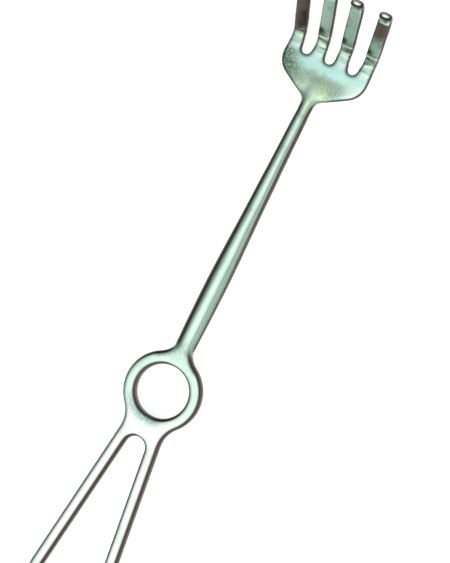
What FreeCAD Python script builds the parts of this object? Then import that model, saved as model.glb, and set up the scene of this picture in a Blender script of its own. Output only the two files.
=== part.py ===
"""A four-pronged hand-held surgical retractor, forged and polished in one piece.

The handle is a flat forging: a finger ring with two legs behind it that close in a round loop.
A swelling shank leads forward from the ring, thins to a neck and spreads into a blade.
The blade divides into four prongs that bend up and hook inwards at their blunt tips.

Frame, in millimetres: the origin is the centre of the finger ring, on the forging's middle plane.
+X runs along the shank towards the prongs, +Y to the left and +Z the way that the prongs rise.
"""

import FreeCAD
import Part

import math
import os

Vector = FreeCAD.Vector

# Handle forging
HANDLE_T = 4.0  # thickness
HANDLE_ROUND = 1.3  # rounding of every long edge of the handle

# Finger ring
RING_BORE_R = 8.7
RING_BAR = 4.4  # width of the bar, from bore to outside

# Grip loop behind the ring
GRIP_LENGTH = 84.0  # ring centre to the outside of the loop's end
GRIP_END_R = 14.0  # outside radius of the loop's end
GRIP_END_BAR = 4.2  # width of the bar round the loop's end
LEGS_W = 14.0  # across the legs' outer edges, level with the back of the ring
CROTCH_WEB = 3.4  # metal between the ring and the loop's opening, on the axis
CROTCH_R = 3.5  # radius of the opening's narrow end
RING_LEG_R = 9.0  # hollow between the ring and a leg, seen from above

# Shank
SHOULDER_R = 7.0  # hollow between the ring and the shank, seen from above
SHOULDER_SINK = 0.8  # how far the shoulders run in under the shank's sides
HEEL_RUN = 3.4  # from the ring's outside to where the shank stands full
HEEL_W = 6.8
HEEL_H = 5.6
BELLY_X = 37.0  # thickest section
BELLY_W = 7.25
BELLY_H = 6.3
WAIST_X = 64.0
WAIST_W = 5.95
WAIST_H = 5.3
NECK_X = 100.0  # thinnest section
NECK_W = 4.6
NECK_H = 4.2

HEEL_SUNK = 0.8  # height of the shank's hidden end, as a share of the handle's thickness
HEEL_NARROW = 0.92  # width of that end, as a share of the heel's
FLARE_REACH = 0.75  # how far the shank runs into the blade, as a share of neck to bend
FLARE_SPREAD = 1.1  # how much wider than the neck it ends, as a share of the neck
FLARE_SUNK = 0.9  # height of that end, as a share of the blade's thickness
HEEL_STEPS = 5  # sections
SHANK_STEPS = 14
FLARE_STEPS = 7

# Blade
BLADE_T = 2.2
BLADE_W = 29.25  # across the roots of the outer prongs
BLADE_ROUND = 0.6
BLADE_REAR_SLOPE = 60.0  # degrees, rear edge to the axis
BLADE_REAR_RUN = 5.6  # neck to the rear edge, where it is a quarter of the width from the axis
BLADE_NECK_R = 4.5
NECK_SINK = 0.8  # width of the blade's hidden rear end, as a share of the neck's
BLADE_CORNER_R = 7.0
SLOT_RUN = 9.8  # from there to the bottom of the slots

# Prongs
PRONG_COUNT = 4
SLOT_W = 3.05
BEND_AFTER_SLOT = 0.1  # flat metal beyond the slots' round ends
PRONG_W = 4.4
PRONG_TIP_W = 4.1
PRONG_T = 2.2
PRONG_ROUND = 0.6
ROOT_SUNK = 1.2  # how far a prong runs back inside the blade
ROOT_STEP = 0.03  # how far a prong's faces lie under the blade's where it comes out
ROOT_BEND_R = 7.0
PRONG_RISE = 55.0  # degrees, the straight stretch to the blade
PRONG_STRAIGHT = 14.7
HOOK_R = 6.5
HOOK_RISE = 95.0  # degrees, at the tip
NOSE = 1.8  # length of the rounded end
NOSE_SQUARE = 0.4  # 0.5 is a half round seen on the prong's face, and less is squarer
PRONG_SPREAD = 2.3  # degrees that each prong leans out, per pitch from the axis

TINY = 1e-6  # for comparing places


def point(x, y, z=0.0):
    """A point or direction."""
    return Vector(x, y, z)


def turned(degrees):
    """The unit direction in the plan at an angle from +X."""
    return point(math.cos(math.radians(degrees)), math.sin(math.radians(degrees)))


def arc(start, middle, end):
    """An arc edge through three points."""
    return Part.Arc(start, middle, end).toShape()


def arc_about(centre, start, end, outward):
    """An arc edge about a centre. Outward points from the centre to the middle of the arc."""
    radius = (start - centre).Length
    return arc(start, centre + outward.normalize() * radius, end)


def line(start, end):
    """A straight edge."""
    return Part.LineSegment(start, end).toShape()


def closed(edges):
    """One closed wire from edges in any order."""
    return Part.Wire(Part.__sortEdges__(edges))


def both_sides(edges):
    """The edges of the left side and their mirror images on the right."""
    return edges + [edge.mirror(point(0, 0), point(0, 1)) for edge in edges]


def plate(face, thickness, rounding, keep):
    """A flat plate about the middle plane. Its long edges are rounded, apart from those to keep."""
    face.translate(point(0, 0, -thickness / 2))
    slab = face.extrude(point(0, 0, thickness))
    flat = [edge for edge in slab.Edges if edge.BoundBox.ZLength < TINY]
    return slab.makeFillet(rounding, [edge for edge in flat if not keep(edge.BoundBox)])


def eased(share):
    """A share from 0 to 1, eased at both ends."""
    share = min(1.0, max(0.0, share))
    return share * share * (3 - 2 * share)


# The handle forging

RING_R = RING_BORE_R + RING_BAR
HEEL_X = RING_R + HEEL_RUN
CROTCH = point(-RING_R - CROTCH_WEB - CROTCH_R, 0)
GRIP_END = point(GRIP_END_R - GRIP_LENGTH, 0)
OPENING_R = GRIP_END_R - GRIP_END_BAR


def outer_normal():
    """Outward direction of a leg's outer edge, which touches the round of the loop's end."""
    away = point(-RING_R, LEGS_W / 2) - GRIP_END
    return turned(math.degrees(math.atan2(away.y, away.x) + math.acos(GRIP_END_R / away.Length)))


def inner_normal():
    """Outward direction of a leg's inner edge, which touches both round ends of the opening."""
    return turned(math.degrees(math.acos((OPENING_R - CROTCH_R) / (CROTCH.x - GRIP_END.x))))


def ring_leg_hollow():
    """Centre of the hollow between the ring and a leg, which touches both."""
    normal = outer_normal()
    reach = RING_R + RING_LEG_R
    off_line = GRIP_END_R + RING_LEG_R + GRIP_END.dot(normal)
    along = point(normal.y, -normal.x)
    return normal * off_line - along * math.sqrt(reach**2 - off_line**2)


def shoulder_hollow():
    """Centre of the hollow between the ring and the shank, which touches both."""
    y = HEEL_W / 2 - SHOULDER_SINK + SHOULDER_R
    return point(math.sqrt((RING_R + SHOULDER_R) ** 2 - y**2), y)


def handle_outline():
    """Outside of the handle: tang, shoulders, ring, legs and the loop's end."""
    shoulder = shoulder_hollow()
    hollow = ring_leg_hollow()
    tang_side = shoulder - point(0, SHOULDER_R)
    tang_end = point(HEEL_X + HANDLE_T / 2, tang_side.y - HANDLE_ROUND / 2)
    on_ring_front = shoulder * (RING_R / (RING_R + SHOULDER_R))
    on_ring_rear = hollow * (RING_R / (RING_R + RING_LEG_R))
    on_leg = hollow - outer_normal() * RING_LEG_R
    on_end = GRIP_END + outer_normal() * GRIP_END_R
    side = [
        line(point(tang_end.x, 0), tang_end),
        line(tang_end, tang_side),
        arc_about(shoulder, tang_side, on_ring_front, (tang_side + on_ring_front) * 0.5 - shoulder),
        arc_about(point(0, 0), on_ring_front, on_ring_rear, on_ring_front + on_ring_rear),
        arc_about(hollow, on_ring_rear, on_leg, (on_ring_rear + on_leg) * 0.5 - hollow),
        line(on_leg, on_end),
        arc_about(GRIP_END, on_end, point(-GRIP_LENGTH, 0), on_end - GRIP_END + point(-GRIP_END_R, 0)),
    ]
    return closed(both_sides(side))


def grip_opening():
    """Opening of the loop: a narrow round end, straight sides and a wide round end."""
    tip = CROTCH + point(CROTCH_R, 0)
    back = GRIP_END - point(OPENING_R, 0)
    on_crotch = CROTCH + inner_normal() * CROTCH_R
    on_end = GRIP_END + inner_normal() * OPENING_R
    side = [
        arc_about(CROTCH, tip, on_crotch, (tip + on_crotch) * 0.5 - CROTCH),
        line(on_crotch, on_end),
        arc_about(GRIP_END, on_end, back, on_end + back - GRIP_END * 2),
    ]
    return closed(both_sides(side))


def handle():
    """The handle forging, with its edges rounded all round."""
    bore = Part.Wire(Part.makeCircle(RING_BORE_R))
    outline = handle_outline()
    front = outline.BoundBox.XMax
    face = Part.Face([outline, grip_opening(), bore], "Part::FaceMakerBullseye")
    return plate(face, HANDLE_T, HANDLE_ROUND, lambda box: box.XMin > front - TINY)


# The shank

BLADE_REAR_X = NECK_X + BLADE_REAR_RUN
SLOT_X = BLADE_REAR_X + SLOT_RUN
BEND_X = SLOT_X + SLOT_W / 2 + BEND_AFTER_SLOT


def oval(x, width, height):
    """An upright oval section of the shank, in two halves that meet at top and bottom."""
    ellipse = Part.Ellipse(point(0, 0), max(width, height) / 2, min(width, height) / 2)
    rotation = FreeCAD.Rotation(point(0, 1, 0), point(0, 0, 1), point(1, 0, 0), "XYZ")
    halves = [
        Part.ArcOfEllipse(ellipse, math.radians(start), math.radians(start + 180)).toShape()
        for start in (-90, 90)
    ]
    wire = Part.Wire(halves)
    wire.Placement = FreeCAD.Placement(point(x, 0), rotation)
    return wire


def smooth_through(stations, x):
    """The value at x of a smooth curve through stations, which are pairs of x and value."""
    slopes = [(v1 - v0) / (x1 - x0) for (x0, v0), (x1, v1) in zip(stations, stations[1:])]
    inner = [(p + q) / 2 if p * q > 0 else 0.0 for p, q in zip(slopes, slopes[1:])]
    tangents = [slopes[0]] + inner + [slopes[-1] / 2]
    index = sum(1 for station in stations[1:-1] if x > station[0])
    (x0, v0), (x1, v1) = stations[index:index + 2]
    run, share = x1 - x0, (x - x0) / (x1 - x0)
    bulge = tangents[index] * (1 - share) - tangents[index + 1] * share
    return v0 + (v1 - v0) * eased(share) + bulge * run * share * (1 - share)


def heel_sections():
    """The shank's rise out of the ring's shoulder."""
    start = RING_R - RING_BAR / 2
    sunk_w, sunk_h = HEEL_W * HEEL_NARROW, HANDLE_T * HEEL_SUNK
    for step in range(HEEL_STEPS):
        rise = eased(step / HEEL_STEPS)
        x = start + (HEEL_X - start) * step / HEEL_STEPS
        yield oval(x, sunk_w + (HEEL_W - sunk_w) * rise, sunk_h + (HEEL_H - sunk_h) * rise)


def full_sections():
    """The shank's full length: smooth through the four named sections."""
    widths = ((HEEL_X, HEEL_W), (BELLY_X, BELLY_W), (WAIST_X, WAIST_W), (NECK_X, NECK_W))
    heights = ((HEEL_X, HEEL_H), (BELLY_X, BELLY_H), (WAIST_X, WAIST_H), (NECK_X, NECK_H))
    for step in range(SHANK_STEPS):
        x = HEEL_X + (NECK_X - HEEL_X) * step / SHANK_STEPS
        yield oval(x, smooth_through(widths, x), smooth_through(heights, x))


def flare_sections():
    """The shank's flattened end, which sinks between the blade's faces."""
    end_x = NECK_X + (BEND_X - NECK_X) * FLARE_REACH
    end_h = BLADE_T * FLARE_SUNK
    for step in range(FLARE_STEPS + 1):
        x = NECK_X + (end_x - NECK_X) * step / FLARE_STEPS
        share = eased(step / FLARE_STEPS)
        yield oval(x, NECK_W * (1 + FLARE_SPREAD * share), NECK_H + (end_h - NECK_H) * share)


def shank():
    """The shank: it rises out of the ring's shoulder, swells, thins and sinks into the blade."""
    return Part.makeLoft([*heel_sections(), *full_sections(), *flare_sections()], True)


# The blade and its prongs

PITCH = (BLADE_W + SLOT_W) / PRONG_COUNT
ROOT_W = PITCH - SLOT_W


def prong_y(index):
    """How far left of the axis a prong's root is."""
    return (index - (PRONG_COUNT - 1) / 2) * PITCH


def blade_outline():
    """Outside of the blade, with its slots, back to where the shank swallows it."""
    half = BLADE_W / 2
    rear = turned(BLADE_REAR_SLOPE)
    rear_point = point(BLADE_REAR_X, BLADE_W / 4)

    def at_y(y):
        return rear_point + rear * ((y - rear_point.y) / rear.y)
    neck_y = NECK_W / 2 * NECK_SINK
    neck_run = BLADE_NECK_R * math.tan(math.radians(BLADE_REAR_SLOPE / 2))
    corner_run = BLADE_CORNER_R * math.tan(math.radians(BLADE_REAR_SLOPE / 2))
    neck, corner = at_y(neck_y), at_y(half)
    neck_from, neck_to = neck - point(neck_run, 0), neck + rear * neck_run
    corner_from, corner_to = corner - rear * corner_run, corner + point(corner_run, 0)
    neck_centre = neck_from + point(0, BLADE_NECK_R)
    corner_centre = corner_to - point(0, BLADE_CORNER_R)
    side = [
        line(point(neck_from.x, 0), neck_from),
        arc_about(neck_centre, neck_from, neck_to, (neck_from + neck_to) * 0.5 - neck_centre),
        line(neck_to, corner_from),
        arc_about(corner_centre, corner_from, corner_to, (corner_from + corner_to) * 0.5 - corner_centre),
        line(corner_to, point(BEND_X, half)),
    ]
    edges = both_sides(side)
    for index in range(PRONG_COUNT):
        y = prong_y(index)
        edges.append(line(point(BEND_X, y - ROOT_W / 2), point(BEND_X, y + ROOT_W / 2)))
    for index in range(PRONG_COUNT - 1):
        y = prong_y(index) + PITCH / 2
        low, high = point(BEND_X, y - SLOT_W / 2), point(BEND_X, y + SLOT_W / 2)
        run = point(SLOT_X + SLOT_W / 2 - BEND_X, 0)
        edges += [
            line(low, low + run),
            arc(low + run, point(SLOT_X, y), high + run),
            line(high + run, high),
        ]
    return closed(edges)


def blade():
    """The flat blade up to where the prongs bend."""
    outline = blade_outline()
    rear = outline.BoundBox.XMin

    def joins(box):
        return box.XMin > BEND_X - TINY or box.XMax < rear + TINY
    return plate(Part.Face(outline), BLADE_T, BLADE_ROUND, joins)


PRONG_BEND = math.radians(PRONG_RISE) * ROOT_BEND_R
PRONG_HOOK = math.radians(HOOK_RISE - PRONG_RISE) * HOOK_R
NOSE_FROM = PRONG_BEND + PRONG_STRAIGHT + PRONG_HOOK


def prong_place(length):
    """A prong's middle line at a length from its root: x, z and the rise in radians."""
    if length < 0:
        return BEND_X + length, 0.0, 0.0
    x, z, rise = BEND_X, 0.0, 0.0
    runs = ((ROOT_BEND_R, PRONG_BEND), (None, PRONG_STRAIGHT), (HOOK_R, PRONG_HOOK), (None, NOSE))
    for radius, run in runs:
        step = min(length, run)
        if radius:
            after = rise + step / radius
            x += radius * (math.sin(after) - math.sin(rise))
            z += radius * (math.cos(rise) - math.cos(after))
            rise = after
        else:
            x += step * math.cos(rise)
            z += step * math.sin(rise)
        length -= step
    return x, z, rise


def prong_section(length, y, lean, width, thickness, rounding):
    """A rounded oblong across a prong at a length from its root."""
    x, z, rise = prong_place(length)
    ahead = point(math.cos(rise) * math.cos(lean), math.sin(lean), math.sin(rise) * math.cos(lean))
    up = point(-math.sin(rise), 0, math.cos(rise))
    across = up.cross(ahead)
    centre = point(x, y + max(0.0, length) * math.tan(lean), z)
    corners = []
    for side, face in ((1, 1), (-1, 1), (-1, -1), (1, -1)):
        middle = centre + across * side * (width / 2 - rounding) + up * face * (thickness / 2 - rounding)
        outer, flat = middle + across * side * rounding, middle + up * face * rounding
        between = middle + (across * side + up * face) * (rounding * math.sqrt(0.5))
        corners.append((outer, between, flat) if side == face else (flat, between, outer))
    edges = []
    for corner, following in zip(corners, corners[1:] + corners[:1]):
        edges += [arc(*corner), line(corner[2], following[0])]
    return Part.Wire(edges)


def shaft_sections(y, lean):
    """A prong's sections from inside the blade to where its nose begins."""
    root = ROOT_W - 2 * ROOT_STEP
    lengths = [-ROOT_SUNK, -ROOT_SUNK / 2, 0]
    lengths += [PRONG_BEND * share for share in (0.15, 0.35, 0.6, 0.85, 1)]
    lengths += [PRONG_BEND + PRONG_STRAIGHT * share for share in (0.33, 0.66, 1)]
    lengths += [NOSE_FROM - PRONG_HOOK * share for share in (0.66, 0.33, 0)]
    for length in lengths:
        near = eased(length / (PRONG_BEND / 2))
        far = max(0.0, length / NOSE_FROM)
        width = root + (PRONG_W - root) * near + (PRONG_TIP_W - PRONG_W) * far
        thickness = PRONG_T - 2 * ROOT_STEP * (1 - near)
        yield prong_section(length, y, lean * near, width, thickness, PRONG_ROUND)


def nose_sections(y, lean):
    """A prong's blunt end: round in side view, and a squarer round seen on its face."""
    for share in (0.35, 0.6, 0.8, 0.93, 0.985):
        thickness = PRONG_T * math.sqrt(1 - share**2)
        width = PRONG_TIP_W * (1 - share**2) ** NOSE_SQUARE
        rounding = min(PRONG_ROUND * (1 + share), thickness * 0.45)
        yield prong_section(NOSE_FROM + NOSE * share, y, lean, width, thickness, rounding)


def prong(index):
    """One prong, from the blade to its rounded tip."""
    y = prong_y(index)
    lean = math.radians(PRONG_SPREAD * y / PITCH)
    return Part.makeLoft([*shaft_sections(y, lean), *nose_sections(y, lean)], True)


def main():
    """Makes the one forging and writes it."""
    pieces = [shank(), blade()] + [prong(index) for index in range(PRONG_COUNT)]
    forging = handle().fuse(pieces).removeSplitter()
    if len(forging.Solids) != 1:
        raise ValueError("the forging is in %d pieces" % len(forging.Solids))
    forging = forging.Solids[0]
    print("volume %.1f mm3, valid %s" % (forging.Volume, forging.isValid()))
    print("box", forging.BoundBox)
    os.makedirs("parts", exist_ok=True)
    forging.exportStep("parts/retractor.step")


main()
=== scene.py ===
"""Looks of the four-pronged hand-held surgical retractor, a single polished steel forging.

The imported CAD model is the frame, in metres: the origin is the centre of the finger ring, +X runs
along the shank towards the prongs, +Y to the left and +Z the way that the prongs rise. Classes that
hold sizes or places in millimetres say so.
"""

import logging
from dataclasses import dataclass
from enum import Enum

import bmesh
import bpy
from mathutils import Matrix, Vector


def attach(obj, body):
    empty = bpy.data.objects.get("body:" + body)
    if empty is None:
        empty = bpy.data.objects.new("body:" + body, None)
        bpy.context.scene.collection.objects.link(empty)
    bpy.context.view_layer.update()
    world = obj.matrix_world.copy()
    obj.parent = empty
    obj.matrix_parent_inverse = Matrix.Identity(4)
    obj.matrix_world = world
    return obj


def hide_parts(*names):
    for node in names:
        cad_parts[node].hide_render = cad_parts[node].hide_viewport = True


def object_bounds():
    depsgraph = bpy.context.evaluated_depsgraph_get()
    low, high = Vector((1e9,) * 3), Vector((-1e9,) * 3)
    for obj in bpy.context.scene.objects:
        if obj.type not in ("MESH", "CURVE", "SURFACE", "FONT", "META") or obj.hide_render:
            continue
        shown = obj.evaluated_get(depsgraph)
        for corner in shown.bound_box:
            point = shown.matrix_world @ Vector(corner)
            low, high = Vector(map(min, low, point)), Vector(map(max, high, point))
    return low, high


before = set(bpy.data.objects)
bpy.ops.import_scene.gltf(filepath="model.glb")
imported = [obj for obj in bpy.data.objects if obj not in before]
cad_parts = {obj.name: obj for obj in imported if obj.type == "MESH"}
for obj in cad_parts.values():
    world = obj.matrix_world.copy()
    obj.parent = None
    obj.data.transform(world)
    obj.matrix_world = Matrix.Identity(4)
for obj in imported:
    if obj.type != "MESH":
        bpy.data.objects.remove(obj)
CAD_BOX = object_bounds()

log = logging.getLogger("retractor")

MM = 0.001
PHOTO_HEIGHT = 563
WHITE = (1.0, 1.0, 1.0, 1.0)

Socket = bpy.types.NodeSocket
Colour = tuple[float, float, float]
Place = tuple[float, float, float]
Span = tuple[float, float]
Stretch = tuple[Span, Span]


class Blend(Enum):
    """How a layer of colour lies on the one below it."""

    COVER = "MIX"
    DARKEN = "MULTIPLY"


@dataclass(frozen=True)
class Pattern:
    """A noise pattern: features per millimetre, octaves of finer noise and how it is squeezed."""

    scale: float
    detail: float
    squeeze: Place | None = None


class NodeSheet:
    """Short calls for building one material's node tree."""

    def __init__(self, name: str) -> None:
        """Create the material.

        Args:
            name: Name of the material.
        """
        self.material = bpy.data.materials.new(name)
        self.material.use_nodes = True
        self.tree = self.material.node_tree
        self.shader = self.tree.nodes["Principled BSDF"]

    def node(self, kind: str, inputs: dict[str | int, object], **settings: object) -> bpy.types.Node:
        """Add a node.

        Args:
            kind: Blender's name for the node type.
            inputs: Values or output sockets for its input sockets.
            **settings: Properties of the node.

        Returns:
            The new node.
        """
        made = self.tree.nodes.new(kind)
        for name, value in settings.items():
            setattr(made, name, value)
        for name, value in inputs.items():
            self.feed(made.inputs[name], value)
        return made

    def feed(self, socket: Socket, value: object) -> None:
        """Link or set one input socket.

        Args:
            socket: The input socket.
            value: An output socket to link, or a value to set.
        """
        if isinstance(value, Socket):
            self.tree.links.new(value, socket)
        else:
            socket.default_value = value

    def maths(self, operation: str, *values: object) -> Socket:
        """The result of one operation on numbers or sockets, by Blender's name for it."""
        return self.node("ShaderNodeMath", dict(enumerate(values)), operation=operation).outputs[0]

    def vectors(self, operation: str, inputs: dict[str | int, object], output: str = "Vector") -> Socket:
        """The result of one operation on vectors, by Blender's name for it."""
        return self.node("ShaderNodeVectorMath", inputs, operation=operation).outputs[output]

    def parts(self, vector: Socket) -> tuple[Socket, Socket, Socket]:
        """The three parts of a vector."""
        return tuple(self.node("ShaderNodeSeparateXYZ", {0: vector}).outputs)

    def rise(self, value: Socket, span: Span) -> Socket:
        """A smooth step from 0 at the span's first value to 1 at its second, in either order."""
        limits = {"Value": value, "From Min": span[0], "From Max": span[1]}
        return self.node("ShaderNodeMapRange", limits, interpolation_type="SMOOTHSTEP").outputs[0]

    def between(self, value: Socket, stretch: Stretch) -> Socket:
        """A mask that rises over the stretch's first span and falls over its second."""
        return self.both(self.rise(value, stretch[0]), self.rise(value, stretch[1]))

    def both(self, *masks: object) -> Socket:
        """The product of several masks or levels.

        Args:
            *masks: Sockets or numbers.

        Returns:
            The product's socket.
        """
        result = masks[0]
        for mask in masks[1:]:
            result = self.maths("MULTIPLY", result, mask)
        return result

    def less(self, mask: Socket) -> Socket:
        """What a mask leaves."""
        return self.maths("SUBTRACT", 1.0, mask)

    def noise(self, place: Socket, pattern: Pattern) -> Socket:
        """A noise pattern.

        Args:
            place: The coordinates, in millimetres.
            pattern: Its scale, detail and squeeze.

        Returns:
            The pattern's socket, about 0 to 1.
        """
        if pattern.squeeze:
            place = self.node("ShaderNodeMapping", {"Vector": place, "Scale": pattern.squeeze}).outputs[0]
        inputs = {"Vector": place, "Scale": pattern.scale, "Detail": pattern.detail}
        return self.node("ShaderNodeTexNoise", inputs).outputs[0]

    def layer(self, under: object, over: object, mask: object, blend: Blend = Blend.COVER) -> Socket:
        """Lay one colour over another.

        Args:
            under: Colour or socket below.
            over: Colour or socket above.
            mask: How much of the upper colour shows.
            blend: How it lies on the lower one.

        Returns:
            The mixed colour's socket.
        """
        mix = self.node("ShaderNodeMix", {0: mask}, data_type="RGBA", blend_type=blend.value)
        self.feed(mix.inputs[6], under if isinstance(under, Socket) else (*under, 1.0))
        self.feed(mix.inputs[7], over if isinstance(over, Socket) else (*over, 1.0))
        return mix.outputs[2]


@dataclass(frozen=True)
class Extents:
    """Where the forms of the forging fade into each other along X, in millimetres."""

    handle_end: Span = (18.0, 14.0)
    shank: Stretch = ((13.0, 17.0), (106.0, 100.0))
    blade: Stretch = ((99.0, 107.0), (121.0, 116.5))
    prong_start: Span = (117.5, 119.5)


@dataclass(frozen=True)
class Grain:
    """Patterns that more than one layer of the finish shows."""

    speckles: Pattern = Pattern(1.7, 6.0)
    streaks: Pattern = Pattern(1.0, 5.0, (0.12, 1.6, 1.6))
    ripples: Pattern = Pattern(1.0, 1.0, (0.85, 0.16, 0.85))


class Surface:
    """Where a point of the forging lies, which way it faces and which form it is on.

    Every attribute is a socket. Places are in millimetres.
    """

    def __init__(self, sheet: NodeSheet, extents: Extents, grain: Grain) -> None:
        """Make the sockets.

        Args:
            sheet: The material's node tree.
            extents: Where the forms start and end.
            grain: The shared patterns.
        """
        coordinates = sheet.node("ShaderNodeTexCoord", {}).outputs["Object"]
        self.place = sheet.vectors("SCALE", {0: coordinates, "Scale": 1 / MM})
        self.x, self.y, self.z = sheet.parts(self.place)
        self.nx, self.ny, self.nz = sheet.parts(sheet.node("ShaderNodeNewGeometry", {}).outputs["Normal"])
        self.upright = sheet.maths("ABSOLUTE", self.nz)
        self.beside = sheet.maths("ABSOLUTE", self.ny)
        plan = sheet.node("ShaderNodeCombineXYZ", {0: self.x, 1: self.y}).outputs[0]
        self.radius = sheet.vectors("LENGTH", {0: plan}, "Value")
        self.on_handle = sheet.rise(self.x, extents.handle_end)
        self.on_shank = sheet.between(self.x, extents.shank)
        self.on_blade = sheet.between(self.x, extents.blade)
        self.on_prong = sheet.rise(self.x, extents.prong_start)
        self.on_plate = sheet.less(sheet.maths("MAXIMUM", self.on_prong, self.on_shank))
        self.speckles = sheet.noise(self.place, grain.speckles)
        self.streaks = sheet.noise(self.place, grain.streaks)
        self.ripples = sheet.noise(self.place, grain.ripples)


@dataclass(frozen=True)
class Spot:
    """A stain, a painted highlight or a patch of painted shade, in millimetres. Its core is a share of its
    radius.
    """

    x: float
    y: float
    radius: float
    colour: Colour
    strength: float
    z: float = 1.1
    core: float = 0.2

    def nearness(self, sheet: NodeSheet, at: Surface, reach: float = 1.0) -> Socket:
        """Mask of the spot.

        Args:
            sheet: The material's node tree.
            at: The surface.
            reach: Where the spot has faded out, as a share of its radius.

        Returns:
            The mask's socket, 1 in the core.
        """
        centre = (self.x, self.y, self.z)
        away = sheet.vectors("DISTANCE", {0: at.place, 1: centre}, "Value")
        return sheet.rise(away, (self.radius * reach, self.radius * self.core))


@dataclass(frozen=True)
class FaceFinish:
    """Bright faces with tarnished clouds and painted shade on sloping flanks, polishing streaks, a painted
    highlight on the blade's front, a neck painted lighter as a highlight, and a duller blade rear.
    """

    grip: Colour = (0.84, 0.90, 0.86)
    face: Colour = (0.66, 0.88, 0.76)
    grip_to_face: Span = (-14.0, 2.0)
    # Flank: painted shade on sloping surfaces, also laid in tarnished clouds.
    flank: Colour = (0.49, 0.69, 0.58)
    flank_slope: Span = (0.99, 0.80)
    clouds: Pattern = Pattern(0.10, 3.0)
    cloudy: Span = (0.50, 0.80)
    cloud_share: float = 0.5
    streak: Colour = (0.80, 0.88, 0.85)
    streaked: Span = (0.45, 0.75)
    streak_share: float = 0.30
    # Painted highlight on the blade's front.
    front_highlight: Colour = (0.55, 0.92, 0.83)
    front_highlight_start: Span = (109.0, 113.0)
    front_highlight_share: float = 0.8
    patina: Colour = (0.31, 0.45, 0.35)
    patina_front: Span = (115.4, 112.4)
    patina_side: Span = (-12.0, -6.0)
    patina_speckled: Span = (0.0, 0.62)
    patina_share: float = 0.95
    ragged: Pattern = Pattern(0.25, 4.0)
    ragged_reach: float = 5.0
    # Neck painted lighter near the axis, as a painted highlight.
    neck: Colour = (0.68, 0.94, 0.70)
    neck_run: Stretch = ((92.0, 103.0), (110.0, 106.0))
    neck_side: Span = (5.5, 2.5)
    neck_share: float = 0.9

    def dull_rear(self, sheet: NodeSheet, at: Surface) -> Socket:
        """Mask of the blade's duller rear, with a ragged front edge.

        Args:
            sheet: The material's node tree.
            at: The surface.

        Returns:
            The mask's socket.
        """
        ragged = sheet.maths("MULTIPLY", sheet.noise(at.place, self.ragged), self.ragged_reach)
        front = sheet.rise(sheet.maths("ADD", at.x, ragged), self.patina_front)
        return sheet.both(at.on_blade, front, sheet.rise(at.y, self.patina_side))

    def lay(self, sheet: NodeSheet, at: Surface, dull_rear: Socket) -> Socket:
        """Lay the colours of the faces, with painted shade on slopes and painted highlights on the blade's
        front and the neck.

        Args:
            sheet: The material's node tree.
            at: The surface.
            dull_rear: Mask of the blade's duller rear.

        Returns:
            The colour's socket.
        """
        colour = sheet.layer(self.grip, self.face, sheet.rise(at.x, self.grip_to_face))
        clouds = sheet.both(sheet.rise(sheet.noise(at.place, self.clouds), self.cloudy), self.cloud_share)
        # Cloudy tarnish, and painted shade where the surface slopes.
        tarnish_and_slope_shade = sheet.maths("MAXIMUM", clouds, sheet.rise(at.upright, self.flank_slope))
        colour = sheet.layer(colour, self.flank, tarnish_and_slope_shade)
        streaks = sheet.both(sheet.rise(at.streaks, self.streaked), self.streak_share)
        colour = sheet.layer(colour, self.streak, streaks, Blend.DARKEN)
        # Painted highlight on the blade's front.
        front_highlight = sheet.both(at.on_blade, sheet.rise(at.x, self.front_highlight_start), self.front_highlight_share)
        colour = sheet.layer(colour, self.front_highlight, front_highlight)
        patina = sheet.both(dull_rear, sheet.rise(at.speckles, self.patina_speckled), self.patina_share)
        colour = sheet.layer(colour, self.patina, patina)
        # Painted highlight along the neck.
        beside_axis = sheet.rise(sheet.maths("ABSOLUTE", at.y), self.neck_side)
        neck = sheet.both(sheet.between(at.x, self.neck_run), beside_axis, self.neck_share)
        return sheet.layer(colour, self.neck, neck)


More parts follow.
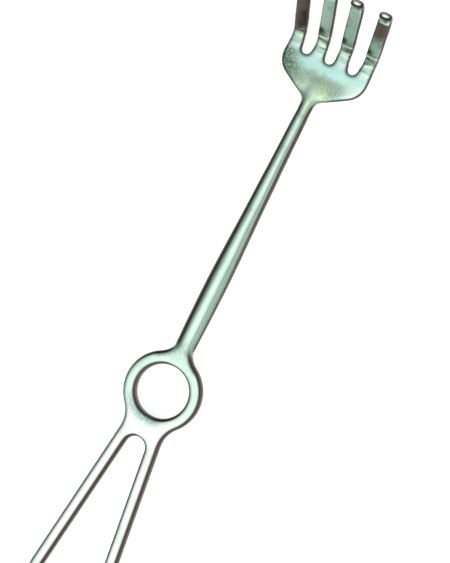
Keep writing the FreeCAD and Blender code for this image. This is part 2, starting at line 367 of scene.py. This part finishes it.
@dataclass(frozen=True)
class StainAndPaintedLightFinish:
    """Spots and speckles of old stain, spots of painted shade on the blade's left and at the shoulder, a
    painted highlight near the blade's right edge, and the dull arcs behind the finger ring's bore.
    """

    spots: tuple[Spot, ...] = (
        Spot(107.3, -3.1, 2.4, (0.36, 0.38, 0.15), 0.60),
        # The next two are painted shade on the blade's left side.
        Spot(113.0, 13.6, 4.4, (0.10, 0.15, 0.10), 0.95),
        Spot(109.0, 11.5, 4.4, (0.12, 0.18, 0.12), 0.90),
        # A painted highlight near the blade's right edge.
        Spot(111.5, -11.8, 2.8, (0.76, 0.95, 0.86), 0.75),
        # Painted shade at the shoulder, where the shank meets the ring.
        Spot(15.0, 0.5, 4.0, (0.36, 0.50, 0.42), 0.60),
    )
    spot_reach: float = 1.5
    spot_speckled: Span = (0.20, 0.62)
    stain: Colour = (0.16, 0.24, 0.17)
    stained: Span = (0.60, 0.74)
    stain_share: float = 0.12
    stain_share_on_rear: float = 0.45
    arc: Colour = (0.24, 0.44, 0.39)
    arc_radius: Span = (12.6, 9.9)
    arc_behind: Span = (-3.0, -8.0)
    arc_side: Span = (-7.0, -1.0)
    arc_speckled: Span = (0.20, 0.55)
    arc_share: float = 0.9

    def lay(self, sheet: NodeSheet, at: Surface, colour: Socket, dull_rear: Socket) -> Socket:
        """Lay the old stain, the painted shade and the painted highlight over the faces.

        Args:
            sheet: The material's node tree.
            at: The surface.
            colour: The colour so far.
            dull_rear: Mask of the blade's duller rear.

        Returns:
            The colour's socket.
        """
        # Old stain, painted shade and a painted highlight, spot by spot.
        for spot in self.spots:
            near = spot.nearness(sheet, at, self.spot_reach)
            mask = sheet.both(near, sheet.rise(at.speckles, self.spot_speckled), spot.strength)
            colour = sheet.layer(colour, spot.colour, mask)
        share = sheet.maths("ADD", sheet.both(dull_rear, self.stain_share_on_rear), self.stain_share)
        colour = sheet.layer(colour, self.stain, sheet.both(sheet.rise(at.speckles, self.stained), share))
        behind = sheet.both(sheet.rise(at.x, self.arc_behind), sheet.rise(at.y, self.arc_side))
        arcs = sheet.both(sheet.rise(at.radius, self.arc_radius), behind)
        arcs = sheet.both(arcs, sheet.rise(at.speckles, self.arc_speckled), self.arc_share)
        return sheet.layer(colour, self.arc, arcs)


@dataclass(frozen=True)
class ProngFinish:
    """Prongs darkened by painted shade and patchy painted shade, painted brown reflections on the outer two,
    patches of painted shade, and painted glints in the rippled bends.
    """

    # Inner faces darkened by painted shade, by their slope.
    face: Colour = (0.27, 0.39, 0.31)
    face_share: float = 0.85
    inner_slope: Span = (0.86, 0.62)
    inner_top: Span = (17.0, 16.2)
    shade: Colour = (0.10, 0.15, 0.12)
    shade_mottle: Pattern = Pattern(0.22, 2.0)
    shade_mottled: Span = (0.46, 0.72)
    shade_mottle_share: float = 0.7
    # Painted brown reflection on the outer two prongs.
    brown: Colour = (0.085, 0.048, 0.038)
    brown_share: float = 0.9
    first_prong: Span = (7.6, 9.0)
    last_prong: Span = (-7.6, -9.0)
    last_prong_height: Span = (8.0, 12.5)
    # Patches of painted shade just past the bends.
    shade_patches: tuple[Spot, ...] = (
        Spot(123.2, 5.6, 2.6, (0.030, 0.036, 0.030), 1.0, 5.4),
        Spot(123.4, -2.2, 2.6, (0.030, 0.036, 0.030), 1.0, 5.4),
        Spot(123.1, -11.0, 2.6, (0.030, 0.036, 0.030), 1.0, 5.3),
        Spot(122.6, 11.6, 3.4, (0.030, 0.024, 0.020), 0.9, 5.0),
        Spot(125.0, 11.2, 3.6, (0.030, 0.024, 0.020), 0.9, 8.2),
    )
    root_height: Span = (4.0, 3.0)
    # Painted highlight across the prongs' roots, followed by a band of painted shade.
    root_highlight: Colour = (0.88, 0.96, 0.92)
    root_highlight_run: Stretch = ((115.0, 115.9), (117.5, 116.8))
    root_highlight_share: float = 0.5
    root_shade_run: Stretch = ((116.9, 117.7), (119.8, 119.0))
    root_shade_share: float = 0.6
    bend_run: Stretch = ((117.2, 118.0), (123.2, 122.4))
    bend_side: Span = (14.0, 6.0)
    # Painted shade in the ripples' dips and painted glints on their crests.
    dip_shade: Span = (0.50, 0.38)
    dip_shade_share: float = 0.75
    glint: Colour = (0.74, 0.88, 0.62)
    crests: Span = (0.52, 0.60)
    glint_start: Span = (118.6, 119.6)
    glint_share: float = 0.85

    def inner_faces(self, sheet: NodeSheet, at: Surface) -> Socket:
        """Mask of the faces that look back along the shank."""
        slope = sheet.rise(at.nz, self.inner_slope)
        return sheet.both(at.on_prong, slope, sheet.rise(at.z, self.inner_top))

    def bends(self, sheet: NodeSheet, at: Surface) -> Socket:
        """Mask of the bends, where the forging is rippled."""
        return sheet.both(sheet.between(at.x, self.bend_run), sheet.rise(at.y, self.bend_side))

    def lay_faces(self, sheet: NodeSheet, at: Surface, colour: Socket, inner: Socket) -> Socket:
        """Lay the prongs' inner faces: painted shade, patchy painted shade, painted brown reflections on the
        outer two prongs and patches of painted shade.

        Args:
            sheet: The material's node tree.
            at: The surface.
            colour: The colour so far.
            inner: Mask of the inner faces.

        Returns:
            The colour's socket.
        """
        # Painted shade on the inner faces, patchy painted shade, and painted brown reflections on the outer
        # prongs.
        colour = sheet.layer(colour, self.face, sheet.both(inner, self.face_share))
        shade_mottle = sheet.both(inner, sheet.rise(sheet.noise(at.place, self.shade_mottle), self.shade_mottled))
        colour = sheet.layer(colour, self.shade, sheet.both(shade_mottle, self.shade_mottle_share))
        first = sheet.both(inner, sheet.rise(at.y, self.first_prong))
        last = sheet.both(inner, sheet.rise(at.y, self.last_prong), sheet.rise(at.z, self.last_prong_height))
        ends = sheet.both(sheet.maths("MAXIMUM", first, last), self.brown_share)
        colour = sheet.layer(colour, self.brown, ends)
        # Patches of painted shade.
        for shade_patch in self.shade_patches:
            mask = sheet.both(shade_patch.nearness(sheet, at), shade_patch.strength)
            colour = sheet.layer(colour, shade_patch.colour, mask)
        return colour

    def lay_roots(self, sheet: NodeSheet, at: Surface, colour: Socket, bends: Socket) -> Socket:
        """Lay the bands of light and shade from the blade's front to the end of the bends.

        Args:
            sheet: The material's node tree.
            at: The surface.
            colour: The colour so far.
            bends: Mask of the bends.

        Returns:
            The colour's socket.
        """
        low = sheet.rise(at.z, self.root_height)
        # Painted highlight, then painted shade, across the roots.
        light = sheet.both(sheet.between(at.x, self.root_highlight_run), low, self.root_highlight_share)
        colour = sheet.layer(colour, self.root_highlight, light)
        shade = sheet.both(sheet.between(at.x, self.root_shade_run), low, self.root_shade_share)
        colour = sheet.layer(colour, self.face, shade)
        # Painted shade in the dips, painted glints on the crests.
        dip_shade = sheet.both(bends, sheet.rise(at.ripples, self.dip_shade), self.dip_shade_share)
        colour = sheet.layer(colour, self.shade, dip_shade)
        glints = sheet.both(bends, sheet.rise(at.ripples, self.crests), sheet.rise(at.x, self.glint_start))
        return sheet.layer(colour, self.glint, sheet.both(glints, self.glint_share))


@dataclass(frozen=True)
class TipFinish:
    """Rounded prong tips: a painted highlight on the crown in a rim of painted shade, over a band painted
    light.
    """

    # Painted highlight on the crown.
    crown: Colour = (0.88, 0.96, 0.92)
    crown_slope: Span = (0.70, 0.85)
    top: Span = (18.9, 19.5)
    # Band painted light below the crown.
    band: Colour = (0.46, 0.63, 0.55)
    band_height: Span = (16.1, 16.8)
    band_facing: Span = (-0.3, -0.6)
    # Rim of painted shade round the crown.
    rim: Colour = (0.042, 0.038, 0.033)
    rim_slope: Span = (0.86, 0.72)

    def tops(self, sheet: NodeSheet, at: Surface) -> Socket:
        """Mask of the rounded ends."""
        return sheet.both(at.on_prong, sheet.rise(at.z, self.top))

    def lay(self, sheet: NodeSheet, at: Surface, colour: Socket) -> Socket:
        """Lay the band painted light and the painted highlight on the crown.

        Args:
            sheet: The material's node tree.
            at: The surface.
            colour: The colour so far.

        Returns:
            The colour's socket.
        """
        height = sheet.rise(at.z, self.band_height)
        band = sheet.both(at.on_prong, height, sheet.rise(at.nx, self.band_facing))
        colour = sheet.layer(colour, self.band, band)
        crown = sheet.both(self.tops(sheet, at), sheet.rise(at.upright, self.crown_slope))
        return sheet.layer(colour, self.crown, crown)

    def lay_rim(self, sheet: NodeSheet, at: Surface, colour: Socket) -> Socket:
        """Lay the rim's painted shade, over the walls' colours too."""
        rim = sheet.both(self.tops(sheet, at), sheet.rise(at.upright, self.rim_slope))
        return sheet.layer(colour, self.rim, rim)


@dataclass(frozen=True)
class WallFinish:
    """Walls painted with brown and dark reflections, by the way that the surface faces on the object.

    Slopes are spans of the normal's upright part, and facings are spans of its part along X or Y.
    A lean makes the wall start on a flatter slope.
    """

    # Painted reflections: brown on walls that face -Y, near black on walls that face +Y.
    brown: Colour = (0.120, 0.090, 0.076)
    dark: Colour = (0.042, 0.038, 0.033)
    dark_to_brown: Span = (0.35, -0.35)
    # Painted brown reflection in the bore.
    bore: Colour = (0.17, 0.13, 0.11)
    bore_radius: Span = (10.4, 9.2)
    bore_facing: Span = (0.1, -0.5)
    plate_slope: Span = (0.84, 0.62)
    side_lean: float = 0.15
    handle_lean: float = 0.19
    blade_lean: float = 0.07
    near_facing: Span = (0.05, -0.15)
    front_facing_x: Span = (0.05, 0.35)
    front_facing_y: Span = (-0.1, 0.2)
    prong_facing: Span = (0.45, 0.80)
    left_slope: Span = (0.96, 0.84)
    left_facing: Span = (0.0, 0.2)
    right_slope: Span = (0.74, 0.62)
    right_facing: Span = (0.0, -0.2)
    thin_to_thick: Span = (90.0, 30.0)
    thin_lean: float = 0.11
    thick_rise: float = 0.21
    underside: Span = (-0.6, -0.25)
    hidden_facing: Span = (0.2, 0.5)
    hidden_slope: Span = (0.20, 0.04)

    def flat_walls(self, sheet: NodeSheet, at: Surface) -> Socket:
        """Mask of the walls of the handle, the blade and the prongs.

        Args:
            sheet: The material's node tree.
            at: The surface.

        Returns:
            The mask's socket.
        """
        near = sheet.both(sheet.rise(at.ny, self.near_facing), at.on_handle)
        front = sheet.both(sheet.rise(at.nx, self.front_facing_x), sheet.rise(at.ny, self.front_facing_y))
        front = sheet.both(front, at.on_handle)
        handle = sheet.both(sheet.maths("MAXIMUM", near, front), self.handle_lean)
        lean = sheet.maths("ADD", sheet.both(at.beside, self.side_lean), handle)
        tilt = sheet.maths("SUBTRACT", at.upright, lean)
        tilt = sheet.maths("SUBTRACT", tilt, sheet.both(at.on_blade, self.blade_lean))
        plate = sheet.both(sheet.rise(tilt, self.plate_slope), at.on_plate)
        prong = sheet.both(sheet.rise(at.beside, self.prong_facing), at.on_prong)
        return sheet.maths("MAXIMUM", plate, prong)

    def round_walls(self, sheet: NodeSheet, at: Surface) -> Socket:
        """Mask of the shank's sides.

        Args:
            sheet: The material's node tree.
            at: The surface.

        Returns:
            The mask's socket.
        """
        left = sheet.both(sheet.rise(at.upright, self.left_slope), sheet.rise(at.ny, self.left_facing))
        thickness = sheet.both(sheet.rise(at.x, self.thin_to_thick), self.thick_rise)
        tilt = sheet.maths("ADD", at.upright, sheet.maths("SUBTRACT", thickness, self.thin_lean))
        right = sheet.both(sheet.rise(tilt, self.right_slope), sheet.rise(at.ny, self.right_facing))
        sides = sheet.maths("MAXIMUM", sheet.both(left, at.on_shank), sheet.both(right, at.on_shank))
        return sheet.both(sides, sheet.rise(at.nz, self.underside))

    def mask(self, sheet: NodeSheet, at: Surface) -> Socket:
        """Mask of all walls but those that the photograph doesn't show, which stay plain steel.

        Args:
            sheet: The material's node tree.
            at: The surface.

        Returns:
            The mask's socket.
        """
        walls = sheet.maths("MAXIMUM", self.flat_walls(sheet, at), self.round_walls(sheet, at))
        hidden = sheet.both(sheet.rise(at.ny, self.hidden_facing), sheet.rise(at.nz, self.hidden_slope))
        return sheet.both(walls, sheet.less(hidden))

    def lay(self, sheet: NodeSheet, at: Surface, colour: Socket, walls: Socket) -> Socket:
        """Lay the walls' colours: painted brown and dark reflections, and a painted brown reflection in the
        bore.

        Args:
            sheet: The material's node tree.
            at: The surface.
            colour: The colour so far.
            walls: Mask of the walls.

        Returns:
            The colour's socket.
        """
        # Painted reflections: near black towards +Y, brown towards -Y and in the bore.
        brown = sheet.layer(self.dark, self.brown, sheet.rise(at.ny, self.dark_to_brown))
        in_bore = sheet.both(sheet.rise(at.radius, self.bore_radius), sheet.rise(at.ny, self.bore_facing))
        return sheet.layer(colour, sheet.layer(brown, self.bore, in_bore), walls)


@dataclass(frozen=True)
class PolishedSteel:
    """Hand-polished stainless steel: mint-tinted, with old staining, walls painted with brown and dark
    reflections, and painted shade and highlights on the faces, prongs and tips.
    """

    extents: Extents = Extents()
    grain: Grain = Grain()
    faces: FaceFinish = FaceFinish()
    stains_and_painted_light: StainAndPaintedLightFinish = StainAndPaintedLightFinish()
    prongs: ProngFinish = ProngFinish()
    tips: TipFinish = TipFinish()
    walls: WallFinish = WallFinish()
    smooth: float = 0.07
    rough: float = 0.20
    smears: Pattern = Pattern(0.22, 4.0)
    smeared: Span = (0.3, 0.75)
    speckled: Span = (0.5, 0.7)
    speckle_roughness: float = 0.12
    wall_roughness: float = 0.22
    prong_height: Span = (2.0, 6.0)
    prong_roughness: float = 0.20
    waves: Pattern = Pattern(0.16, 1.5)
    wave_height: float = 0.10
    ripple_height: float = 0.20
    streak_height: float = 0.004
    grit: Pattern = Pattern(3.0, 3.0)
    grit_height: float = 0.0025

    def roughness(self, sheet: NodeSheet, at: Surface, walls: Socket, inner: Socket) -> Socket:
        """Roughness from smears and speckles, with satin walls and prongs.

        Args:
            sheet: The material's node tree.
            at: The surface.
            walls: Mask of the walls.
            inner: Mask of the prongs' inner faces.

        Returns:
            The roughness socket.
        """
        smears = {"Value": sheet.noise(at.place, self.smears)}
        smears |= {"From Min": self.smeared[0], "From Max": self.smeared[1]}
        smears |= {"To Min": self.smooth, "To Max": self.rough}
        base = sheet.node("ShaderNodeMapRange", smears).outputs[0]
        speckles = sheet.both(sheet.rise(at.speckles, self.speckled), self.speckle_roughness)
        prongs = sheet.both(inner, sheet.rise(at.z, self.prong_height), self.prong_roughness)
        base = sheet.maths("ADD", sheet.maths("ADD", base, speckles), sheet.both(walls, self.wall_roughness))
        return sheet.maths("ADD", base, prongs)

    def bump(self, sheet: NodeSheet, at: Surface, bends: Socket) -> Socket:
        """Normals with low waves, ripples in the bends, streaks and fine grit.

        Args:
            sheet: The material's node tree.
            at: The surface.
            bends: Mask of the prongs' bends.

        Returns:
            The normal's socket.
        """
        height = sheet.maths("MULTIPLY", sheet.noise(at.place, self.waves), self.wave_height)
        height = sheet.maths("ADD", height, sheet.both(at.ripples, bends, self.ripple_height))
        height = sheet.maths("ADD", height, sheet.both(at.streaks, self.streak_height))
        grit = sheet.both(sheet.noise(at.place, self.grit), self.grit_height)
        height = sheet.maths("ADD", height, grit)
        return sheet.node("ShaderNodeBump", {"Height": height, "Distance": MM, "Strength": 1.0}).outputs[0]

    def material(self) -> bpy.types.Material:
        """Build the material.

        Returns:
            The finished material.
        """
        sheet = NodeSheet("polished_steel")
        at = Surface(sheet, self.extents, self.grain)
        dull_rear = self.faces.dull_rear(sheet, at)
        inner = self.prongs.inner_faces(sheet, at)
        bends = self.prongs.bends(sheet, at)
        walls = self.walls.mask(sheet, at)
        colour = self.faces.lay(sheet, at, dull_rear)
        colour = self.stains_and_painted_light.lay(sheet, at, colour, dull_rear)
        colour = self.prongs.lay_faces(sheet, at, colour, inner)
        colour = self.prongs.lay_roots(sheet, at, colour, bends)
        colour = self.tips.lay(sheet, at, colour)
        # Walls painted with brown and dark reflections.
        colour = self.walls.lay(sheet, at, colour, walls)
        # Tip rims of painted shade, laid over the walls.
        colour = self.tips.lay_rim(sheet, at, colour)
        sheet.feed(sheet.shader.inputs["Base Color"], colour)
        sheet.feed(sheet.shader.inputs["Roughness"], self.roughness(sheet, at, walls, inner))
        sheet.feed(sheet.shader.inputs["Metallic"], 1.0)
        sheet.feed(sheet.shader.inputs["Normal"], self.bump(sheet, at, bends))
        return sheet.material


def eased(value: float, span: Span) -> float:
    """A smooth step from 0 at the span's first value to 1 at its second."""
    share = min(max((value - span[0]) / (span[1] - span[0]), 0.0), 1.0)
    return share * share * (3 - 2 * share)


@dataclass(frozen=True)
class EasedZone:
    """A box, in millimetres, whose creases are polished over by more passes.

    Surfaces that stand steeper than the slope limit keep their shape, so that outlines stay true.
    """

    low: Place
    high: Place
    passes: int
    least_upright: float = 0.0

    def holds(self, vertex: bmesh.types.BMVert) -> bool:
        """Whether a vertex is in the box and level enough."""
        inside = all(low <= value / MM <= high for low, value, high in zip(self.low, vertex.co, self.high))
        return inside and abs(vertex.normal.z) >= self.least_upright


@dataclass(frozen=True)
class ProngFit:
    """How the prongs are filled out and set after the polishing, in millimetres.

    The swells go outwards on every side, and the limits keep the prongs inside the solid's box.
    """

    foot: Span = (2.0, 4.0)
    swell: float = 0.10
    tip: Span = (17.5, 19.0)
    tip_swell: float = 0.14
    furthest_x: float = 133.42
    widest_y: float = 15.72
    third_prong: Span = (-8.0, 0.0)
    third_prong_root: Span = (116.0, 119.5)
    third_prong_shift: float = 0.28

    def fit(self, work: bmesh.types.BMesh) -> None:
        """Give the prongs back the width that the polishing took, and set the third as it stands.

        Args:
            work: The mesh being polished.
        """
        work.normal_update()
        for vertex in work.verts:
            height = vertex.co.z / MM
            swell = self.swell * eased(height, self.foot) + self.tip_swell * eased(height, self.tip)
            vertex.co += vertex.normal * swell * MM
            if self.third_prong[0] < vertex.co.y / MM < self.third_prong[1]:
                vertex.co.y += self.third_prong_shift * eased(vertex.co.x / MM, self.third_prong_root) * MM
            vertex.co.x = min(vertex.co.x, self.furthest_x * MM)
            vertex.co.y = max(-self.widest_y * MM, min(vertex.co.y, self.widest_y * MM))


@dataclass(frozen=True)
class Forging:
    """The whole retractor: the CAD forging with its creases eased and polished over, in metres."""

    node: str = "retractor"
    finish: PolishedSteel = PolishedSteel()
    prongs: ProngFit = ProngFit()
    merge_distance: float = 2e-6
    cell: float = 0.00038
    ease: float = 0.5
    ease_passes: int = 8
    zones: tuple[EasedZone, ...] = (
        EasedZone((99.0, -5.0, -4.0), (111.0, 5.0, 4.0), 30, 0.35),
        EasedZone((97.0, -6.5, -4.0), (114.0, 6.5, 4.0), 30, 0.35),
        EasedZone((9.5, -7.5, -4.0), (20.0, 7.5, 4.0), 24, 0.25),
        EasedZone((115.5, -16.0, -2.0), (121.0, 16.0, 3.0), 8),
        EasedZone((122.0, -20.0, 17.0), (140.0, 20.0, 30.0), 16),
    )

    def build(self) -> bpy.types.Object:
        """Make the piece that stands for the CAD node.

        Returns:
            The finished piece.
        """
        mesh = bpy.data.meshes.new("forging")
        work = bmesh.new()
        work.from_mesh(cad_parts[self.node].data)
        bmesh.ops.remove_doubles(work, verts=work.verts, dist=self.merge_distance)
        work.to_mesh(mesh)
        work.free()
        piece = bpy.data.objects.new("forging", mesh)
        bpy.context.scene.collection.objects.link(piece)
        even = piece.modifiers.new("even_cells", "REMESH")
        even.mode = "VOXEL"
        even.voxel_size = self.cell
        even.use_smooth_shade = True
        self.polish_over(piece)
        return piece

    def polish_over(self, piece: bpy.types.Object) -> None:
        """Keep the even cells and ease the creases, most where two forms of the forging meet.

        Args:
            piece: The piece with its modifiers.
        """
        even = bpy.data.meshes.new_from_object(piece.evaluated_get(bpy.context.evaluated_depsgraph_get()))
        work = bmesh.new()
        work.from_mesh(even)
        bpy.data.meshes.remove(even)
        piece.modifiers.clear()
        for zone in self.zones:
            self.polish(work, [vertex for vertex in work.verts if zone.holds(vertex)], zone.passes)
        self.polish(work, work.verts, self.ease_passes)
        self.prongs.fit(work)
        for face in work.faces:
            face.smooth = True
        work.to_mesh(piece.data)
        work.free()

    def polish(self, work: bmesh.types.BMesh, vertices: object, passes: int) -> None:
        """Draw vertices towards their neighbours.

        Args:
            work: The mesh being polished.
            vertices: Its vertices to draw.
            passes: How many times they are drawn.
        """
        axes = {"use_axis_x": True, "use_axis_y": True, "use_axis_z": True}
        for _ in range(passes):
            bmesh.ops.smooth_vert(work, verts=vertices, factor=self.ease, **axes)

    def dress(self, piece: bpy.types.Object) -> None:
        """Give the piece its finish and its place in the frame.

        Args:
            piece: The built piece.
        """
        piece.data.materials.clear()
        piece.data.materials.append(self.finish.material())
        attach(piece, "root")
        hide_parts(self.node)


@dataclass(frozen=True)
class PhotoCamera:
    """Camera at the photograph's viewing angle, in millimetres, found from the silhouette."""

    position: Place = (61.97, -84.59, 369.59)
    target: Place = (40.17, -1.97, 0.0)
    image_up: Place = (0.89176, 0.44996, 0.04798)
    focal_pixels: float = 1200.0
    sensor: float = 24.0
    nearest: float = 10.0
    furthest: float = 20000.0

    def build(self) -> bpy.types.Object:
        """Create the camera and make it the scene's.

        Returns:
            The camera object.
        """
        data = bpy.data.cameras.new("photo_camera")
        data.sensor_fit = "VERTICAL"
        data.sensor_height = self.sensor
        data.lens = self.focal_pixels * self.sensor / PHOTO_HEIGHT
        data.clip_start = self.nearest * MM
        data.clip_end = self.furthest * MM
        camera = bpy.data.objects.new("photo_camera", data)
        back = (Vector(self.position) - Vector(self.target)).normalized()
        right = Vector(self.image_up).cross(back).normalized()
        turn = Matrix((right, back.cross(right), back)).transposed().to_4x4()
        camera.matrix_world = Matrix.Translation(Vector(self.position) * MM) @ turn
        bpy.context.scene.collection.objects.link(camera)
        bpy.context.scene.camera = camera
        return camera


@dataclass(frozen=True)
class Lamp:
    """A soft rectangular lamp that faces the object, in metres and watts."""

    name: str
    place: Place
    size: Span
    power: float
    colour: Colour = (1.0, 1.0, 1.0)

    def build(self) -> bpy.types.Object:
        """Create the lamp.

        Returns:
            The lamp object.
        """
        data = bpy.data.lights.new(self.name, "AREA")
        data.shape = "RECTANGLE"
        data.size, data.size_y = self.size
        data.energy = self.power
        data.color = self.colour
        lamp = bpy.data.objects.new(self.name, data)
        lamp.location = self.place
        lamp.rotation_euler = (-Vector(self.place)).to_track_quat("-Z", "Y").to_euler()
        bpy.context.scene.collection.objects.link(lamp)
        return lamp


@dataclass(frozen=True)
class Studio:
    """Pale floor, a soft sky that darkens towards the horizon, and soft lamps, in metres.

    The sky's levels stand at distances from its centre, counted in its reach along X and Y.
    """

    floor_radius: float = 4.0
    floor_segments: int = 128
    floor_gap: float = 0.0001
    floor_colour: Colour = (0.93, 0.93, 0.93)
    floor_glow: float = 0.62
    sky_centre: Span = (-0.35, -0.02)
    sky_reach: Span = (0.55, 0.48)
    sky: tuple[Span, ...] = (
        (0.0, 1.26),
        (0.65, 1.20),
        (0.9, 1.02),
        (1.2, 0.75),
        (1.45, 0.50),
        (1.7, 0.34),
        (2.0, 0.26),
        (2.5, 0.30),
        (3.0, 0.34),
    )
    lamps: tuple[Lamp, ...] = (Lamp("right_window", (0.05, -0.90, 0.42), (1.4, 0.66), 1.25),)

    def build_floor(self) -> bpy.types.Object:
        """Create the floor just under the object.

        Returns:
            The floor object.
        """
        mesh = bpy.data.meshes.new("floor")
        work = bmesh.new()
        bmesh.ops.create_circle(work, cap_ends=True, segments=self.floor_segments, radius=self.floor_radius)
        bmesh.ops.translate(work, verts=work.verts, vec=(0.0, 0.0, CAD_BOX[0][2] - self.floor_gap))
        work.to_mesh(mesh)
        work.free()
        floor = bpy.data.objects.new("floor", mesh)
        bpy.context.scene.collection.objects.link(floor)
        sheet = NodeSheet("pale_floor")
        sheet.feed(sheet.shader.inputs["Base Color"], (*self.floor_colour, 1.0))
        sheet.feed(sheet.shader.inputs["Roughness"], 1.0)
        sheet.feed(sheet.shader.inputs["Emission Color"], WHITE)
        rays = sheet.node("ShaderNodeLightPath", {}).outputs
        seen = sheet.maths("MAXIMUM", rays["Is Camera Ray"], rays["Is Glossy Ray"])
        seen = sheet.maths("MAXIMUM", seen, rays["Is Transmission Ray"])
        sheet.feed(sheet.shader.inputs["Emission Strength"], sheet.both(seen, self.floor_glow))
        mesh.materials.append(sheet.material)
        return floor

    def build_sky(self) -> None:
        """Set the world to one wide soft light overhead that fades into a dim room."""
        world = bpy.data.worlds.new("soft_sky")
        bpy.context.scene.world = world
        world.use_nodes = True
        tree = world.node_tree
        coordinates = tree.nodes.new("ShaderNodeTexCoord")
        oval = tree.nodes.new("ShaderNodeMapping")
        centre = [-place / reach for place, reach in zip(self.sky_centre, self.sky_reach)]
        oval.inputs["Scale"].default_value = (*(1 / reach for reach in self.sky_reach), 0.0)
        oval.inputs["Location"].default_value = (*centre, 0.0)
        away = tree.nodes.new("ShaderNodeVectorMath")
        away.operation = "LENGTH"
        share = tree.nodes.new("ShaderNodeMath")
        share.operation = "DIVIDE"
        furthest = self.sky[-1][0]
        share.inputs[1].default_value = furthest
        ramp = tree.nodes.new("ShaderNodeValToRGB")
        background = tree.nodes["Background"]
        tree.links.new(coordinates.outputs["Generated"], oval.inputs[0])
        tree.links.new(oval.outputs[0], away.inputs[0])
        tree.links.new(away.outputs["Value"], share.inputs[0])
        tree.links.new(share.outputs[0], ramp.inputs[0])
        tree.links.new(ramp.outputs[0], background.inputs[0])
        brightest = self.sky[0][1]
        background.inputs["Strength"].default_value = brightest
        ramp.color_ramp.interpolation = "EASE"
        stops = ramp.color_ramp.elements
        halfway = 0.5
        while len(stops) < len(self.sky):
            stops.new(halfway)
        for stop, (distance, level) in zip(stops, self.sky):
            stop.position = distance / furthest
            stop.color = (level / brightest, level / brightest, level / brightest, 1.0)

    def build(self) -> None:
        """Create the floor, sky and lamps."""
        self.build_floor()
        self.build_sky()
        for lamp in self.lamps:
            lamp.build()
        bpy.context.scene.view_settings.view_transform = "Standard"


def main() -> None:
    """Build the object, the studio and the camera."""
    logging.basicConfig(level=logging.INFO, format="%(name)s: %(message)s")
    forging = Forging()
    piece = forging.build()
    forging.dress(piece)
    log.info("%s built for node %s", piece.name, forging.node)
    Studio().build()
    PhotoCamera().build()


if __name__ == "__main__":
    main()
